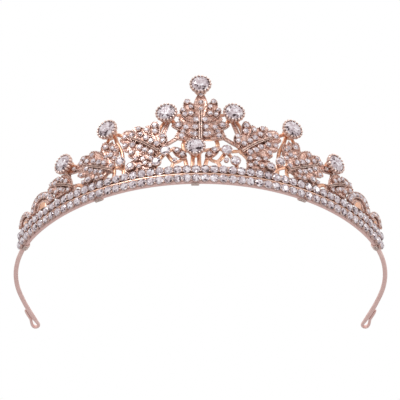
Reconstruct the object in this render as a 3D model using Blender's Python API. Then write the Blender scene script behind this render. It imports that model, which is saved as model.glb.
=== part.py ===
"""Bridal tiara: a springy rose-gold hoop that carries an openwork crest of leaves, collets and crystals.

Lengths are written in millimetres and become metres when a mesh is made. The tiara stands on the
clips under its hoop: +Z runs up the crest and -Y is the front. A place on the crest is
(along, out, high): along runs on the hoop bar's centre line from the front centre, positive towards
+X, out is the distance outwards from that line, and high is the height above the clips' undersides.
"""

import math

import bmesh
import bpy
from mathutils import Vector

MM = 0.001
GAP = 0.3

# Hoop, seen from above: a wide front arc runs on into two tighter side arcs.
FRONT_RADIUS = 77.1
SIDE_RADIUS = 60.1
FRONT_HALF_ARC = 75.5
HOOP_HALF_LENGTH = 146.3
ORIGIN_BEHIND_FRONT = 49.2

# Hoop bar, of a rounded section that thins where a leg curls back on itself
BAR_HIGH = 1.5
BAR_HEIGHT = 1.9
BAR_THICKNESS = 1.85
BAR_EDGE = 0.55
LEG_ROOT = 92.0
LEG_END_HEIGHT = 1.6
LEG_END_THICKNESS = 1.15
CURL_RADIUS = 1.4
CURL_RETURN = 11.5
CURL_CLOSING = 5.5
FLARE_START = 122.0
FLARE = 2.6
LEG_STEPS = 18
CURL_STEPS = 8
RETURN_STEPS = 6

# Two rows of crystals on the crest's base band
STONES_IN_ROW = 52
BAND_STEPS = STONES_IN_ROW // 2
STONE_PITCH = 3.4
ROW_HEIGHT = 3.1
LOWER_ROW_HIGH = 1.65
UPPER_ROW_HIGH = 5.8
LOWER_ROW_BACK = 1.2
UPPER_ROW_BACK = 1.8
ROW_FRONT = 2.4
ROW_TABLE_OUT = 3.0
ROW_TABLE_RADIUS = 1.0
DIVIDER_HEIGHT = 0.45
DIVIDER_BACK = 1.8
DIVIDER_FRONT = 2.1

# Openwork frame
FRAME_BACK = 0.9
FRAME_FRONT = 1.5
BAND_LOW = 3.6
BAND_HIGH = 8.0
WIRE_HALF_WIDTH = 0.75
WIRE_FOOT = 7.6
SMOOTH_STEPS = 2

# Clips that hold the crest to the bar
CLIP_WIDTH = 3.0
CLIP_WALL = 0.35
CLIP_GAP = 0.2
CLIP_CORNER = 0.8
CLIP_LIP_OUT = 0.85
CLIPS = {
    "centre_clip": -2.0,
    "left_front_clip": -41.0,
    "right_front_clip": 41.0,
    "left_end_clip": -86.0,
    "right_end_clip": 86.0,
}

# Toothed crowns, each with one large crystal: (name, along, high)
CROWNS = (
    ("top", 0.0, 44.7),
    ("left_inner", -12.3, 31.7),
    ("right_inner", 12.1, 31.7),
    ("left_middle", -35.1, 29.1),
    ("right_middle", 34.5, 29.0),
    ("left_outer", -55.0, 20.9),
    ("right_outer", 54.0, 20.5),
)
CROWN_SIDES = 20
CROWN_BACK = 1.8
CROWN_RINGS = ((2.9, 0.0), (3.5, 2.1), (4.2, 3.0), (3.6, 2.9), (3.55, 2.1), (0.9, 0.5))
TOOTH_RING = 2
TOOTH_DROP = 0.6
GEM_SIDES = 12
CROWN_GEM_RADIUS = 3.25
CROWN_GEM_OUT = 4.7

# The lower centre group sits a little to the left of the crest's middle.
LOW_CENTRE = -1.7
BEZEL_PLACE = (-1.9, 14.9)
BEZEL_BACK = 1.8
BEZEL_RINGS = ((2.8, 0.0), (3.9, 1.3), (3.9, 2.4), (3.5, 2.3), (0.9, 0.5))
BEZEL_GEM_RADIUS = 3.15
BEZEL_GEM_OUT = 4.2

# Small collets, right-hand place: (name, along, high, radius)
COLLETS = (
    ("bud_collet", 11.4, 14.6, 2.1),
    ("row_collet", 14.6, 9.9, 2.0),
    ("hanging_collet", 30.2, 13.1, 2.0),
    ("seed_collet", 26.2, 9.7, 1.7),
    ("foot_collet", 43.8, 9.2, 1.4),
)
CENTRED_COLLETS = ("bud_collet", "row_collet")
COLLET_SIDES = 12

# Leaves: (name, base, tip, half width above, half width below, lobes on a side)
PAIRED_LEAVES = (
    ("wing_leaf", (3.9, 24.5), (10.9, 27.7), 1.9, 1.9, 1),
    ("bud_leaf", (4.0, 20.5), (9.2, 21.1), 1.4, 1.4, 1),
    ("upright_leaf", (15.2, 17.3), (17.2, 28.5), 1.9, 1.9, 2),
    ("great_leaf", (16.4, 14.6), (30.6, 26.2), 6.7, 5.9, 4),
    ("second_upright_leaf", (34.2, 16.5), (37.2, 25.1), 1.8, 1.8, 2),
    ("second_great_leaf", (33.6, 10.1), (50.8, 19.6), 6.4, 4.6, 4),
    ("fan_leaf", (53.2, 10.4), (64.6, 17.2), 3.9, 3.0, 2),
)
MARQUISE_OUTER = (8.4, 16.0)
MARQUISE_INNER = (4.0, 11.3)
MARQUISE_HALF_WIDTH = 1.5
CENTRE_LEAF_BASE = (0.0, 19.7)
CENTRE_LEAF_TIP = (0.0, 40.6)
CENTRE_LEAF_HALF_WIDTH = 7.4
CENTRE_LEAF_FULLNESS = 2.0
LEAF_BACK = 1.8
LEAF_EDGE = 0.6
LEAF_CROWN = 1.5
LEAF_SWEEP = 0.45
LEAF_FULLNESS = 1.15
LEAF_BLUNTNESS = 0.6
LOBE_DEPTH = 0.3
LOBE_STEPS = 5
LEAF_POINT = 0.15

# Arches of crystals at the crest's ends: (name, along, outer radius, rise, bar width)
ARCHES = (
    ("great_arch", 68.4, 7.0, 6.5, 2.4),
    ("end_arch", 80.6, 4.8, 4.5, 1.8),
)
ARCH_FOOT = 8.1
ARCH_LEAN = 0.25
ARCH_BACK = 1.8
ARCH_FRONT = 3.3
ARCH_STEPS = 12

# Wires of the openwork frame, right-hand side, each a run of (along, high)
PAIRED_WIRES = (
    ((0.0, 23.5), (4.0, 24.7), (10.4, 27.6)),
    ((0.0, 20.5), (4.0, 20.5), (8.6, 21.1)),
    ((0.0, 29.5), (3.0, 30.9), (9.0, 32.5)),
    ((10.6, 29.9), (9.8, 27.9), (8.2, 26.1)),
    ((13.7, 29.7), (15.4, 26.5), (16.2, 22.5), (15.0, 16.5), (15.8, 14.5)),
    ((5.6, 20.7), (6.5, 18.1), (6.0, 14.1)),
    ((15.6, 14.9), (23.0, 21.0), (32.6, 27.8)),
    ((15.8, 14.9), (18.2, 11.9), (18.8, WIRE_FOOT)),
    ((26.6, WIRE_FOOT), (26.4, 10.5), (24.0, 15.0), (21.6, 19.8)),
    ((33.6, 27.1), (32.6, 23.5), (30.6, 18.5), (30.0, 13.0), (29.6, WIRE_FOOT)),
    ((36.3, 26.7), (37.0, 23.5), (34.6, 17.0), (33.6, 10.9), (33.8, WIRE_FOOT)),
    ((27.4, WIRE_FOOT), (30.3, 10.7), (33.6, 12.1), (36.4, 10.7), (38.0, WIRE_FOOT)),
    ((33.6, 10.1), (42.0, 14.8), (52.4, 20.3)),
    ((42.0, 14.8), (45.6, 11.3), (45.8, WIRE_FOOT)),
    ((54.8, 18.5), (54.2, 14.5), (52.8, 10.3), (51.8, WIRE_FOOT)),
    ((46.6, WIRE_FOOT), (49.8, 10.1), (53.4, 10.5), (58.6, 12.9), (65.0, 16.8)),
    ((57.4, 12.3), (60.4, WIRE_FOOT)),
)
CENTRE_WIRES = (
    ((1.3, WIRE_FOOT), (1.2, 10.5), (1.2, 14.5)),
    ((0.0, 14.5), (8.4, 16.0), (11.4, 14.9), (16.8, 15.9)),
    ((8.4, 16.0), (4.6, 11.9), (3.4, WIRE_FOOT)),
    ((4.6, 11.9), (6.4, 10.3), (8.6, 10.4), (11.4, 14.9)),
    ((8.0, 10.3), (9.2, WIRE_FOOT)),
    ((11.4, 14.9), (14.8, 10.4), (15.4, WIRE_FOOT)),
)
SPINE_WIRE = ((LOW_CENTRE, 13.5), (-1.2, 17.5), (0.0, 21.5), (0.0, 42.4))
ARC_WIRES = ((68.4, 5.8, 5.3), (80.6, 3.9, 3.6))
# Broad bars that fill the openwork, right-hand side: (half width, run of (along, high))
PLATES = (
    (1.3, ((28.6, 8.9), (23.0, 9.0), (17.4, 9.0))),
    (1.6, ((26.4, 11.6), (22.0, 11.6), (17.6, 12.6))),
    (1.4, ((46.4, 9.0), (42.0, 9.0), (37.6, 9.4))),
    (1.9, ((-0.5, 21.8), (5.0, 22.4), (9.0, 23.6))),
    (1.3, ((49.0, 17.2), (51.6, 17.6), (54.4, 18.2))),
    (1.6, ((51.0, 9.2), (57.0, 10.4), (62.5, 13.4))),
)

ROSE_GOLD = (0.72, 0.42, 0.33)
PALE_ROSE = (0.66, 0.43, 0.40)
CRYSTAL = (0.86, 0.83, 0.87)
METAL = (1.0, 0.28)
SATIN_METAL = (1.0, 0.42)
STONE = (0.0, 0.05)
SMOOTH_ANGLE = math.radians(35)
SIDES = (("left", -1), ("right", 1))


def clear_scene():
    for item in list(bpy.data.objects):
        bpy.data.objects.remove(item)


def hoop_point(along):
    """(x, y, angle) of the bar's centre line, with y counted from the front centre."""
    turn = FRONT_HALF_ARC / FRONT_RADIUS
    run = abs(along)
    if run <= FRONT_HALF_ARC:
        angle = run / FRONT_RADIUS
        x = FRONT_RADIUS * math.sin(angle)
        y = FRONT_RADIUS * (1 - math.cos(angle))
    else:
        angle = turn + (run - FRONT_HALF_ARC) / SIDE_RADIUS
        x = FRONT_RADIUS * math.sin(turn) + SIDE_RADIUS * (math.sin(angle) - math.sin(turn))
        y = FRONT_RADIUS * (1 - math.cos(turn)) + SIDE_RADIUS * (math.cos(turn) - math.cos(angle))
    side = math.copysign(1.0, along)
    return side * x, y, side * angle


def crest_point(along, out, high):
    """A crest place in metres, in the tiara's own frame."""
    x, y, angle = hoop_point(along)
    x += out * math.sin(angle)
    y -= out * math.cos(angle)
    return Vector((x, y - ORIGIN_BEHIND_FRONT, high)) * MM


def finish(name, colour, metallic, roughness):
    """A material of the piece's own."""
    material = bpy.data.materials.new(name + "_finish")
    material.use_nodes = True
    shader = material.node_tree.nodes["Principled BSDF"]
    shader.inputs["Base Color"].default_value = (*colour, 1.0)
    shader.inputs["Metallic"].default_value = metallic
    shader.inputs["Roughness"].default_value = roughness
    material.diffuse_color = (*colour, 1.0)
    return material


def mesh_of(name, points, faces):
    """A closed mesh with its faces pointing out."""
    shape = bmesh.new()
    vertices = [shape.verts.new(point) for point in points]
    for face in faces:
        shape.faces.new([vertices[i] for i in face])
    bmesh.ops.recalc_face_normals(shape, faces=shape.faces)
    mesh = bpy.data.meshes.new(name)
    shape.to_mesh(mesh)
    shape.free()
    return mesh


def add_piece(name, mesh, look, location=(0, 0, 0), rotation=(0, 0, 0)):
    """Links one finished piece into the scene."""
    piece = bpy.data.objects.new(name, mesh)
    piece.location = location
    piece.rotation_euler = rotation
    bpy.context.scene.collection.objects.link(piece)
    mesh.materials.append(finish(name, *look))
    mesh.shade_smooth()
    mesh.set_sharp_from_angle(angle=SMOOTH_ANGLE)
    return piece


def wrapped_piece(name, solid, look, anchor):
    """A piece laid out in crest places, bent round the hoop, with its origin at the anchor place."""
    points, faces = solid
    origin = crest_point(*anchor)
    bent = [crest_point(*point) - origin for point in points]
    return add_piece(name, mesh_of(name, bent, faces), look, location=origin)


def turned_piece(name, rings, sides, look, along, out, high, tooth_ring=None):
    """A round piece that faces outwards: rings are (radius, distance out from the piece's back)."""
    sections = []
    for index, (radius, depth) in enumerate(rings):
        ring = []
        for step in range(sides):
            angle = math.tau * step / sides
            drop = TOOTH_DROP if index == tooth_ring and step % 2 else 0.0
            place = Vector((radius * math.cos(angle), radius * math.sin(angle), depth - drop))
            ring.append(place * MM)
        sections.append(ring)
    facing = (math.pi / 2, 0.0, hoop_point(along)[2])
    mesh = mesh_of(name, *loft(sections))
    return add_piece(name, mesh, look, crest_point(along, out, high), facing)


def loft(sections):
    """Joins equal rings of points into one closed skin with an end face at each end."""
    count = len(sections[0])
    points = [point for ring in sections for point in ring]
    faces = []
    for row in range(len(sections) - 1):
        for step in range(count):
            after = (step + 1) % count
            low, high = row * count, (row + 1) * count
            faces.append((low + step, low + after, high + after, high + step))
    last = (len(sections) - 1) * count
    faces.append(tuple(range(count)))
    faces.append(tuple(range(last, last + count)))
    return points, faces


def smooth_path(corners, steps=SMOOTH_STEPS):
    """A Catmull-Rom curve through the corners."""
    knots = [Vector(corner) for corner in corners]
    knots = [2 * knots[0] - knots[1], *knots, 2 * knots[-1] - knots[-2]]
    path = []
    for before, start, end, after in zip(knots, knots[1:], knots[2:], knots[3:]):
        for step in range(steps):
            t = step / steps
            pull = (end - before) * t + (2 * before - 5 * start + 4 * end - after) * t**2
            path.append(start + 0.5 * (pull + (3 * start - before - 3 * end + after) * t**3))
    path.append(knots[-2])
    return path


def ribbon(path, half_width, back, front):
    """A flat bar along a path of (along, high), from back to front outwards."""
    sections = []
    for index, place in enumerate(path):
        heading = path[min(index + 1, len(path) - 1)] - path[max(index - 1, 0)]
        across = Vector((-heading.y, heading.x)).normalized() * half_width
        one, other = place + across, place - across
        ring = [(one.x, back, one.y), (one.x, front, one.y)]
        ring += [(other.x, front, other.y), (other.x, back, other.y)]
        sections.append(ring)
    return loft(sections)


def arc_path(along, radius, rise):
    """An arch that stands on the crystal rows, its outer shoulder the higher one."""
    path = []
    for step in range(ARCH_STEPS + 1):
        angle = math.pi * step / ARCH_STEPS
        climb = rise * math.sin(angle) * (1 - ARCH_LEAN * math.cos(angle))
        path.append(Vector((along - radius * math.cos(angle), ARCH_FOOT + climb)))
    return path


def bar_sections(path, heights, thicknesses):
    """Rings of the rounded bar that follows a path of (x, y)."""
    sections = []
    for index, place in enumerate(path):
        heading = path[min(index + 1, len(path) - 1)] - path[max(index - 1, 0)]
        across = Vector((heading.y, -heading.x)).normalized()
        t, h = thicknesses[index] / 2, heights[index] / 2
        c = BAR_EDGE * min(1.0, 2 * t / BAR_THICKNESS)
        outline = [(t, c - h), (t, h - c), (t - c, h), (c - t, h)]
        outline += [(-t, h - c), (-t, c - h), (c - t, -h), (t - c, -h)]
        ring = []
        for out, up in outline:
            flat = place + across * out
            ring.append(Vector((flat.x, flat.y - ORIGIN_BEHIND_FRONT, BAR_HIGH + up)) * MM)
        sections.append(ring)
    return sections


def bar_place(along, out=0.0):
    x, y, angle = hoop_point(along)
    return Vector((x + out * math.sin(angle), y - out * math.cos(angle)))


def make_headband():
    """The front stretch of the hoop, which carries the crest."""
    reach = LEG_ROOT - GAP / 2
    path = [bar_place(reach * (2 * step / BAND_STEPS - 1)) for step in range(BAND_STEPS + 1)]
    sections = bar_sections(path, [BAR_HEIGHT] * len(path), [BAR_THICKNESS] * len(path))
    add_piece("headband_bar", mesh_of("headband_bar", *loft(sections)), (PALE_ROSE, *SATIN_METAL))


def leg_path():
    """(along, out) places of a leg: down to its end, round the curl and back along its outer side."""
    start = LEG_ROOT + GAP / 2
    tip = HOOP_HALF_LENGTH - CURL_RADIUS
    path = [(start + (tip - start) * step / LEG_STEPS, 0.0) for step in range(LEG_STEPS)]
    for step in range(CURL_STEPS + 1):
        angle = math.pi * step / CURL_STEPS - math.pi / 2
        path.append((tip + CURL_RADIUS * math.cos(angle), CURL_RADIUS * (1 + math.sin(angle))))
    close = (BAR_THICKNESS + LEG_END_THICKNESS) / 2 + GAP
    for step in range(1, RETURN_STEPS + 1):
        run = CURL_RETURN * step / RETURN_STEPS
        t = min(1.0, run / CURL_CLOSING)
        ease = t * t * (3 - 2 * t)
        path.append((tip - run, 2 * CURL_RADIUS + (close - 2 * CURL_RADIUS) * ease))
    flare = FLARE / (tip - FLARE_START) ** 2
    return [(along, out + flare * max(0.0, along - FLARE_START) ** 2) for along, out in path]


def make_leg(side, sign):
    """One springy leg, whose origin is where it flexes."""
    name = side + "_leg"
    places = leg_path()
    path = [bar_place(sign * along, out) for along, out in places]
    thinning = HOOP_HALF_LENGTH - CURL_RADIUS - CURL_CLOSING
    heights, thicknesses = [], []
    for index, (along, _) in enumerate(places):
        t = 1.0 if index > LEG_STEPS else max(0.0, (along - thinning) / CURL_CLOSING)
        heights.append(BAR_HEIGHT + (LEG_END_HEIGHT - BAR_HEIGHT) * t)
        thicknesses.append(BAR_THICKNESS + (LEG_END_THICKNESS - BAR_THICKNESS) * t)
    origin = crest_point(sign * LEG_ROOT, 0.0, BAR_HIGH)
    rings = bar_sections(path, heights, thicknesses)
    sections = [[point - origin for point in ring] for ring in rings]
    add_piece(name, mesh_of(name, *loft(sections)), (PALE_ROSE, *SATIN_METAL), location=origin)


def make_clip(name, along):
    """A saddle bent round the bar from its lower edge, up its inner side and over its top."""
    side = BAR_THICKNESS / 2 + CLIP_GAP
    half = BAR_HEIGHT / 2 + CLIP_GAP
    outline = []
    for reach, tall in ((side + CLIP_WALL, half + CLIP_WALL), (side, half)):
        run = [(CLIP_LIP_OUT, -tall), (CLIP_CORNER - reach, -tall), (-reach, CLIP_CORNER - tall)]
        run += [(-reach, tall - CLIP_CORNER), (CLIP_CORNER - reach, tall), (CLIP_LIP_OUT, tall)]
        outline = outline + run if not outline else outline + run[::-1]
    sections = []
    for end in (-0.5, 0.0, 0.5):
        place = along + end * CLIP_WIDTH
        sections.append([(place, out, BAR_HIGH + up) for out, up in outline])
    wrapped_piece(name, loft(sections), (PALE_ROSE, *SATIN_METAL), (along, 0.0, 0.0))


def union_of(solids):
    """The Boolean union of overlapping closed solids, as points and faces."""
    operands = bpy.data.collections.new("operands")
    pieces = [bpy.data.objects.new("operand", mesh_of("operand", *solid)) for solid in solids]
    bpy.context.scene.collection.children.link(operands)
    bpy.context.scene.collection.objects.link(pieces[0])
    for piece in pieces[1:]:
        operands.objects.link(piece)
    join = pieces[0].modifiers.new("union", "BOOLEAN")
    join.operation = "UNION"
    join.operand_type = "COLLECTION"
    join.collection = operands
    depsgraph = bpy.context.evaluated_depsgraph_get()
    joined = bpy.data.meshes.new_from_object(pieces[0].evaluated_get(depsgraph))
    points = [tuple(vertex.co) for vertex in joined.vertices]
    faces = [tuple(face.vertices) for face in joined.polygons]
    for piece in pieces:
        bpy.data.objects.remove(piece)
    bpy.data.collections.remove(operands)
    return points, faces


def base_band():
    """The plain band behind the upper row of crystals."""
    sections = []
    reach = STONE_PITCH * STONES_IN_ROW / 2
    for step in range(BAND_STEPS + 1):
        along = reach * (2 * step / BAND_STEPS - 1)
        ring = [(along, FRAME_BACK, BAND_LOW), (along, FRAME_FRONT, BAND_LOW)]
        ring += [(along, FRAME_FRONT, BAND_HIGH), (along, FRAME_BACK, BAND_HIGH)]
        sections.append(ring)
    return loft(sections)


def wire_runs():
    """Every wire of the openwork as a smooth path of (along, high)."""
    runs = [smooth_path(SPINE_WIRE)]
    for _, sign in SIDES:
        for corners in PAIRED_WIRES:
            runs.append(smooth_path([(sign * along, high) for along, high in corners]))
        for corners in CENTRE_WIRES:
            runs.append(smooth_path([(LOW_CENTRE + sign * along, high) for along, high in corners]))
        for along, radius, rise in ARC_WIRES:
            foot = Vector((sign * (along - radius), WIRE_FOOT))
            arc = arc_path(sign * along, sign * radius, rise)
            runs.append([foot, *arc, Vector((sign * (along + radius), WIRE_FOOT))])
    return runs


def make_frame():
    """The openwork frame: the base band, the wires and the broad bars, joined into one casting."""
    bars = [ribbon(run, WIRE_HALF_WIDTH, FRAME_BACK, FRAME_FRONT) for run in wire_runs()]
    for _, sign in SIDES:
        for half_width, corners in PLATES:
            run = smooth_path([(sign * along, high) for along, high in corners])
            bars.append(ribbon(run, half_width, FRAME_BACK, FRAME_FRONT))
    solid = union_of([base_band(), *bars])
    wrapped_piece("crest_frame", solid, (ROSE_GOLD, *METAL), (0.0, FRAME_BACK, BAND_LOW))


def make_row(name, back, high):
    """A cup chain with its crystals: each cell's front rises to a round table."""
    half = ROW_HEIGHT / 2
    points, faces = [], []
    for step in range(STONES_IN_ROW + 1):
        edge = STONE_PITCH * (step - STONES_IN_ROW / 2)
        rim = [(edge, ROW_FRONT, high - half), (edge, ROW_FRONT, high), (edge, ROW_FRONT, high + half)]
        points += [(edge, back, high - half), *rim, (edge, back, high + half)]
    for step in range(STONES_IN_ROW):
        first, second = 5 * step, 5 * (step + 1)
        middle = STONE_PITCH * (step - (STONES_IN_ROW - 1) / 2)
        low, top = len(points), len(points) + 1
        points += [(middle, ROW_FRONT, high - half), (middle, ROW_FRONT, high + half)]
        faces.append((first, first + 1, low, second + 1, second))
        faces.append((first + 4, first + 3, top, second + 3, second + 4))
        faces.append((first, first + 4, second + 4, second))
        rim = [second + 2, second + 3, top, first + 3, first + 2, first + 1, low, second + 1]
        table = range(len(points), len(points) + 8)
        for corner in range(8):
            angle = math.tau * corner / 8
            right = middle + ROW_TABLE_RADIUS * math.cos(angle)
            points.append((right, ROW_TABLE_OUT, high + ROW_TABLE_RADIUS * math.sin(angle)))
            after = (corner + 1) % 8
            faces.append((rim[corner], rim[after], table[after], table[corner]))
        faces.append(tuple(table))
    last = 5 * STONES_IN_ROW
    faces.append(tuple(range(5)))
    faces.append(tuple(range(last, last + 5)))
    wrapped_piece(name, (points, faces), (CRYSTAL, 0.3, 0.2), (0.0, back, high))


def make_divider():
    """The thin rail between the two rows."""
    middle = (LOWER_ROW_HIGH + UPPER_ROW_HIGH) / 2
    reach = STONE_PITCH * STONES_IN_ROW / 2
    path = [Vector((reach * (2 * step / BAND_STEPS - 1), middle)) for step in range(BAND_STEPS + 1)]
    solid = ribbon(path, DIVIDER_HEIGHT / 2, DIVIDER_BACK, DIVIDER_FRONT)
    wrapped_piece("divider_rail", solid, (ROSE_GOLD, *METAL), (0.0, DIVIDER_BACK, middle))


def gem_rings(radius):
    """A brilliant: pavilion, girdle, crown and table."""
    return (
        (0.08 * radius, -0.42 * radius),
        (radius, 0.0),
        (radius, 0.06 * radius),
        (0.58 * radius, 0.32 * radius),
    )


def make_gem(name, radius, along, out, high):
    turned_piece(name, gem_rings(radius), GEM_SIDES, (CRYSTAL, *STONE), along, out, high)


def make_crowns():
    for name, along, high in CROWNS:
        look = (ROSE_GOLD, *METAL)
        crown = name + "_crown"
        turned_piece(crown, CROWN_RINGS, CROWN_SIDES, look, along, CROWN_BACK, high, TOOTH_RING)
        make_gem(name + "_crystal", CROWN_GEM_RADIUS, along, CROWN_GEM_OUT, high)


def make_centre_stone():
    along, high = BEZEL_PLACE
    look = (ROSE_GOLD, *METAL)
    turned_piece("centre_bezel", BEZEL_RINGS, CROWN_SIDES, look, along, BEZEL_BACK, high)
    make_gem("centre_crystal", BEZEL_GEM_RADIUS, along, BEZEL_GEM_OUT, high)


def make_collets(side, sign):
    """Small round collets, each one solid with the crystal set in it."""
    for name, along, high, radius in COLLETS:
        rings = ((0.7 * radius, 0.0), (radius, 1.2), (0.85 * radius, 1.4), (0.5 * radius, 1.9))
        middle = LOW_CENTRE if name in CENTRED_COLLETS else 0.0
        place = middle + sign * along
        look = (CRYSTAL, 0.3, 0.2)
        turned_piece(f"{side}_{name}", rings, COLLET_SIDES, look, place, LEAF_BACK, high)


def lobed_width(t, half_width, lobes, fullness):
    """Half the leaf's width at t, from its base to its tip: rounded lobes under a full envelope."""
    envelope = max(0.0, math.sin(math.pi * t**fullness)) ** LEAF_BLUNTNESS
    notch = LOBE_DEPTH * (1 - abs(math.sin(math.pi * lobes * t))) if lobes > 1 else 0.0
    return max(LEAF_POINT, half_width * envelope * (1 - notch))


def leaf(base, tip, above, below, lobes, fullness):
    """A crowned leaf whose lobes sweep towards its tip."""
    start, end = Vector(base), Vector(tip)
    spine = end - start
    forward = spine.normalized()
    leftward = Vector((-forward.y, forward.x))
    if leftward.y < 0 or (leftward.y == 0 and leftward.x < 0):
        leftward = -leftward
    steps = LOBE_STEPS * lobes + 2
    sections = []
    for step in range(steps + 1):
        t = step / steps
        upper = lobed_width(t, above, lobes, fullness)
        lower = lobed_width(t, below, lobes, fullness)
        thick = LEAF_EDGE + (LEAF_CROWN - LEAF_EDGE) * math.sin(math.pi * t) ** 0.5
        profile = [(-lower, 0.0), (0.0, 0.0), (upper, 0.0), (upper, LEAF_EDGE)]
        profile += [(upper / 2, 0.8 * thick), (0.0, thick), (-lower / 2, 0.8 * thick)]
        profile.append((-lower, LEAF_EDGE))
        ring = []
        for across, depth in profile:
            run = spine.length * t * (1 - LEAF_SWEEP * abs(across) / spine.length)
            place = start + forward * (run + LEAF_SWEEP * abs(across) * 0.8) + leftward * across
            ring.append((place.x, LEAF_BACK + depth, place.y))
        sections.append(ring)
    return loft(sections)


def make_leaf(name, base, tip, above, below, lobes, fullness=LEAF_FULLNESS):
    anchor = (base[0], LEAF_BACK, base[1])
    solid = leaf(base, tip, above, below, lobes, fullness)
    wrapped_piece(name, solid, (ROSE_GOLD, *METAL), anchor)


def make_leaves():
    width = CENTRE_LEAF_HALF_WIDTH
    fullness = CENTRE_LEAF_FULLNESS
    make_leaf("centre_leaf", CENTRE_LEAF_BASE, CENTRE_LEAF_TIP, width, width, 4, fullness)
    for side, sign in SIDES:
        for name, base, tip, above, below, lobes in PAIRED_LEAVES:
            start = (sign * base[0], base[1])
            end = (sign * tip[0], tip[1])
            make_leaf(f"{side}_{name}", start, end, above, below, lobes)
        outer = (LOW_CENTRE + sign * MARQUISE_OUTER[0], MARQUISE_OUTER[1])
        inner = (LOW_CENTRE + sign * MARQUISE_INNER[0], MARQUISE_INNER[1])
        width = MARQUISE_HALF_WIDTH
        make_leaf(side + "_marquise", inner, outer, width, width, 1)


def make_arches(side, sign):
    """Stone-set arches that step down the ends of the crest."""
    for name, along, radius, rise, width in ARCHES:
        path = arc_path(sign * along, sign * (radius - width / 2), rise - width / 2)
        solid = ribbon(path, width / 2, ARCH_BACK, ARCH_FRONT)
        anchor = (sign * along, ARCH_BACK, ARCH_FOOT)
        wrapped_piece(f"{side}_{name}", solid, (ROSE_GOLD, *METAL), anchor)


def main():
    clear_scene()
    make_headband()
    for name, along in CLIPS.items():
        make_clip(name, along)
    make_frame()
    make_row("lower_crystal_row", LOWER_ROW_BACK, LOWER_ROW_HIGH)
    make_row("upper_crystal_row", UPPER_ROW_BACK, UPPER_ROW_HIGH)
    make_divider()
    make_crowns()
    make_centre_stone()
    make_leaves()
    for side, sign in SIDES:
        make_leg(side, sign)
        make_collets(side, sign)
        make_arches(side, sign)


main()
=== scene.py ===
"""The looks of the bridal tiara: faceted crystals, toothed crowns, stone-set leaves, scroll wires and
the satin hoop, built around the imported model. Lengths are in millimetres until a mesh is made."""

import math
import random

import bmesh
import bpy
from mathutils import Matrix, Vector


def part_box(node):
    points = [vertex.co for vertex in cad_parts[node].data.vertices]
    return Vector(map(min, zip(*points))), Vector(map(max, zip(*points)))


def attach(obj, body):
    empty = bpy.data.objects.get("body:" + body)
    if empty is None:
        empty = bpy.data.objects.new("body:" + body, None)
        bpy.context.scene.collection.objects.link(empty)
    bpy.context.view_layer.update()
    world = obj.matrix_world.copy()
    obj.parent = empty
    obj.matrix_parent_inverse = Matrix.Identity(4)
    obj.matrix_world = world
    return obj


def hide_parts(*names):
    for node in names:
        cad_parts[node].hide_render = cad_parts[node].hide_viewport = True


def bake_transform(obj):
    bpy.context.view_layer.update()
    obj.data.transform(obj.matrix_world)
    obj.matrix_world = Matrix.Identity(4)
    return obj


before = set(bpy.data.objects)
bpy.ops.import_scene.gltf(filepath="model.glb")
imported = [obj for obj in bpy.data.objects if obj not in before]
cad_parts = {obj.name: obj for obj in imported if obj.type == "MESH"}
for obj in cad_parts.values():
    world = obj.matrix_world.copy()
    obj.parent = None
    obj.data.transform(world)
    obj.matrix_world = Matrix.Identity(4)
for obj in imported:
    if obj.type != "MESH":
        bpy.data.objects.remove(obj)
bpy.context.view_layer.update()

MM = 0.001
CREST = "crest"

# Hoop line, as the model has it
FRONT_RADIUS = 77.1
SIDE_RADIUS = 60.1
FRONT_HALF_ARC = 75.5
FRONT_TURN = FRONT_HALF_ARC / FRONT_RADIUS
HOOP_HALF_LENGTH = 146.3
ORIGIN_BEHIND_FRONT = 49.2
BAR_HIGH = 1.5
LEG_ROOT = 92.0

# Camera: it looks up at the crest from in front and below
CAMERA_DISTANCE = 900.0
CAMERA_ELEVATION = math.radians(-35.7)
CAMERA_LENS = 213.5
CAMERA_PITCH = math.radians(35.25)
CAMERA_SIDE = -0.19

# Crystal rows
STONES_IN_ROW = 52
STONE_PITCH = 3.4

SIDES = (("left", -1), ("right", 1))
# Where the low stone stands, a little to the left of the middle
LOW_CENTRE = -1.7

# Hoop bar, and each leg's curled end; BLEND_RUN is a run along the leg from its root
BAR_HEIGHT = 1.9
BAR_THICKNESS = 1.85
LEG_END_HEIGHT = 1.6
LEG_END_THICKNESS = 1.15
CURL_RADIUS = 1.4
CURL_RETURN = 11.5
CURL_CLOSING = 5.5
FLARE_START = 122.0
FLARE = 2.6
BLEND_RUN = 40.0

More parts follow.
